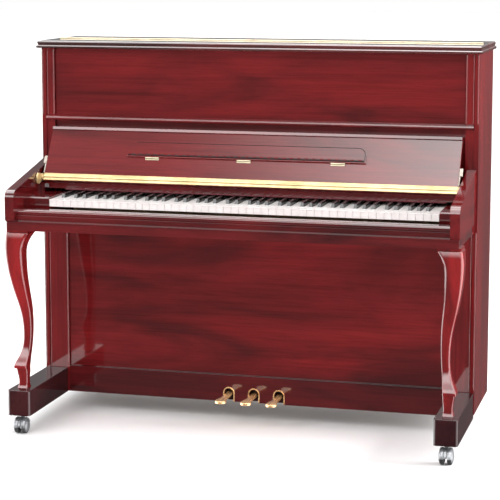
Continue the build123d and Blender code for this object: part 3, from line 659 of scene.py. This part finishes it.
# ---------------------------------------------------------------- lock plate
LOCK_PLATE = ((-7, 0), (7, 0), (7, 9), (4, 12), (-4, 12), (-7, 9))
LOCK_DEPTH = 1.2 * MM
LOCK_X = BOARD_LOW.x + 12 * MM
LOCK_RISE = 14 * MM
NAMEBOARD_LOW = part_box("nameboard")[0]
work = bmesh.new()
prism(work, [(x * MM, 0, z * MM) for x, z in LOCK_PLATE], (0, -LOCK_DEPTH, 0),
      Vector((LOCK_X, NAMEBOARD_LOW.y, NAMEBOARD_LOW.z + LOCK_RISE)))
add_piece("lock_plate", work, CHROME, "case", 0.4)

# ---------------------------------------------------------------- beads on the case's uprights
LOWER_LOW, LOWER_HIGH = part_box("lower_panel")
SIDE_LOW, SIDE_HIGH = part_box("side_panel_right")
PILASTER_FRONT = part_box("pilasters")[0].y
UPPER_PILASTER_X = 668 * MM
UPPER_SPAN = (980 * MM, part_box("upper_panel")[1].z - 2 * MM)
LOWER_SPAN = (LOWER_LOW.z, LOWER_HIGH.z)
BEAD_RADIUS = 1.9 * MM
BEAD_PROUD = 2.0 * MM
BEAD_SUNK = 0.6 * MM
UPRIGHT_BEADS = (
    (UPPER_PILASTER_X + 3 * MM, PILASTER_FRONT, UPPER_SPAN),
    (SIDE_LOW.x - 3 * MM, PILASTER_FRONT, UPPER_SPAN),
    (LOWER_HIGH.x + 4 * MM, PILASTER_FRONT, LOWER_SPAN),
    (SIDE_LOW.x - 3 * MM, PILASTER_FRONT, LOWER_SPAN),
    (SIDE_HIGH.x - 3 * MM, SIDE_LOW.y, UPPER_SPAN),
    (SIDE_HIGH.x - 3 * MM, SIDE_LOW.y, LOWER_SPAN),
)
work = bmesh.new()
for sign in SIDES.values():
    for x, y, (bottom, top) in UPRIGHT_BEADS:
        outline = [(sign * x + BEAD_RADIUS * a, y + BEAD_SUNK - BEAD_PROUD * b, 0) for a, b in half_round(8)]
        prism(work, outline, (0, 0, top - bottom), Vector((0, 0, bottom)))
add_piece("upright_beads", work, MAHOGANY_Z, "case")

# ---------------------------------------------------------------- pedal escutcheons and guards
RAIL_LOW, RAIL_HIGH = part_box("bottom_rail")
SLOT_RADIUS = 15.0
SLOT_TOP = 106.0
SLOT_FOOT = RAIL_LOW.z / MM + 1
FRAME_WIDTH = 4.0
FRAME_PROUD = 1.8
FRAME_SUNK = 0.4
# Dark strips that close the opening, in the darker mahogany as painted shade for the inside of the slot:
# (left, right, bottom, top, gap behind the rail, depth) in millimetres.
GUARD_STRIPS = (
    (-14, 14, 62.5, 74, 0.2, 1.6),
    (-14, 14, 95, 106, 0.2, 1.6),
    (-14, -10, 74, 95, 0.2, 1.6),
    (10, 14, 74, 95, 0.2, 1.6),
    (-13.9, 13.9, 64, 79, 46, 1.6),
    (-13.9, 13.9, 62.5, 64, 0.3, 49),
)


def arch(half_width, top):
    """Points (x, z) of an arch from its left foot over to its right, in millimetres."""
    over = arc((0, top - half_width), half_width, 180, 0, 16)
    return [(-half_width, SLOT_FOOT), *over, (half_width, SLOT_FOOT)]


for name in ("pedal_left", "pedal_middle", "pedal_right"):
    low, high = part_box(name)
    middle = (low.x + high.x) / 2
    lines = (arch(SLOT_RADIUS, SLOT_TOP), arch(SLOT_RADIUS + FRAME_WIDTH, SLOT_TOP + FRAME_WIDTH))
    face = RAIL_LOW.y - FRAME_PROUD * MM
    depth = Vector((0, (FRAME_PROUD + FRAME_SUNK) * MM, 0))
    work = bmesh.new()
    front = [[work.verts.new((middle + x * MM, face, z * MM)) for x, z in line] for line in lines]
    back = [[work.verts.new(vertex.co + depth) for vertex in line] for line in front]
    for i in range(len(front[0]) - 1):
        work.faces.new((front[0][i], front[0][i + 1], front[1][i + 1], front[1][i]))
        work.faces.new((back[0][i], back[1][i], back[1][i + 1], back[0][i + 1]))
        work.faces.new((front[0][i], back[0][i], back[0][i + 1], front[0][i + 1]))
        work.faces.new((front[1][i], front[1][i + 1], back[1][i + 1], back[1][i]))
    for i in (0, -1):
        work.faces.new((front[0][i], front[1][i], back[1][i], back[0][i]))
    add_piece(f"{name}_escutcheon", work, PEDAL_BRASS, "case", 0.6)

    work = bmesh.new()
    for left, right, bottom, top, gap, deep in GUARD_STRIPS:
        outline = [(middle + x * MM, 0, z * MM) for x, z in rectangle(left, right, bottom, top)]
        prism(work, outline, (0, deep * MM, 0), Vector((0, RAIL_HIGH.y + gap * MM, 0)))
    # The guards are in the darker mahogany, as painted shade for the inside of the slot.
    add_piece(f"{name}_guard", work, MAHOGANY_PAINTED_SHADE, "case")

# ---------------------------------------------------------------- casters
CAP_PROFILE = ((0, 0), (0, 19), (1.2, 19), (2.6, 17), (4.2, 12), (5.0, 6), (5.2, 0))
CAP_SEAT = 17.8 * MM
HOOD_CENTRE = 11.5
# The hood's section over one wheel, as (x, radius), turned about the axle.
HOOD_SECTION = ((-7.4, 21.0), (-7.0, 24.6), (-4.6, 26.8), (0, 27.6), (4.6, 26.8), (7.0, 24.6), (7.4, 21.0),
                (6.9, 21.0), (6.6, 24.4), (0, 24.7), (-6.6, 24.4), (-6.9, 21.0))
HOOD_ANGLES = range(-5, 171, 11)
for side in SIDES:
    low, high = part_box(f"caster_{side}_wheels")
    axle = (low + high) / 2
    for name, direction in (("inner", -1), ("outer", 1)):
        work = bmesh.new()
        turned(work, CAP_PROFILE, axle + Vector((direction * CAP_SEAT, 0, 0)), (direction, 0, 0))
        add_piece(f"caster_{side}_cap_{name}", work, CHROME, f"wheels_{side}")
    work = bmesh.new()
    for lobe in (-1, 1):
        across = Vector((lobe * HOOD_CENTRE, 0, 0))
        ups = [Vector((0, -cos(radians(angle)), sin(radians(angle)))) for angle in HOOD_ANGLES]
        skin(work, [[axle + (across + Vector((x, 0, 0)) + up * radius) * MM for x, radius in HOOD_SECTION]
                    for up in ups])
    add_piece(f"caster_{side}_hood", work, CHROME, f"caster_{side}", 0.6)

# ---------------------------------------------------------------- hammer felts
HAMMERS_LOW, HAMMERS_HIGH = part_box("hammers")
NOTE_COUNT = 88
END_NOTE_INSET = 5 * MM
STRIKE = Vector((0, HAMMERS_HIGH.y + 0.4 * MM, HAMMERS_HIGH.z - 10 * MM))
FELT_WIDTH = 10.8 * MM
# (name, material, slot, reach back from the tip, half height), the last two in millimetres.
HAMMER_FELTS = (
    ("hammer_felts", WHITE_FELT, None, 14, 11.5),
    ("hammer_underfelts", RED_FELT, "red_felt", 24, 9.0),
)
for name, material, slot, reach, height in HAMMER_FELTS:
    shape = ((-reach, -height), (-8, -height), (-2, -height * 0.6), (0, 0), (-2, height * 0.6),
             (-8, height), (-reach, height))
    outline = [(0, y * MM, z * MM) for y, z in shape]
    work = bmesh.new()
    for x in spread(HAMMERS_LOW.x + END_NOTE_INSET, HAMMERS_HIGH.x - END_NOTE_INSET, NOTE_COUNT):
        prism(work, outline, (FELT_WIDTH, 0, 0), STRIKE + Vector((x - FELT_WIDTH / 2, 0, 0)))
    add_piece(name, work, material, "hammers")

# ---------------------------------------------------------------- soundboard ribs
SOUNDBOARD_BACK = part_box("soundboard")[1].y
POST_CENTRES = (-651, -325.5, 0, 325.5, 651)
POST_CLEARANCE = 36
RIB_HEIGHTS = (240, 400, 560, 720, 880)
RIB_RISE = 60
RIB_HALF = 11
RIB_DEPTH = 14 * MM
RIB_SUNK = 0.5 * MM
work = bmesh.new()
for left, right in zip(POST_CENTRES, POST_CENTRES[1:]):
    for z in RIB_HEIGHTS:
        x0 = left + POST_CLEARANCE
        x1 = right - POST_CLEARANCE
        shape = ((x0, z - RIB_HALF), (x1, z - RIB_HALF + RIB_RISE),
                 (x1, z + RIB_HALF + RIB_RISE), (x0, z + RIB_HALF))
        prism(work, [(x * MM, 0, h * MM) for x, h in shape], (0, RIB_DEPTH, 0),
              Vector((0, SOUNDBOARD_BACK - RIB_SUNK, 0)))
add_piece("soundboard_ribs", work, SPRUCE_X, "case", 3.0)
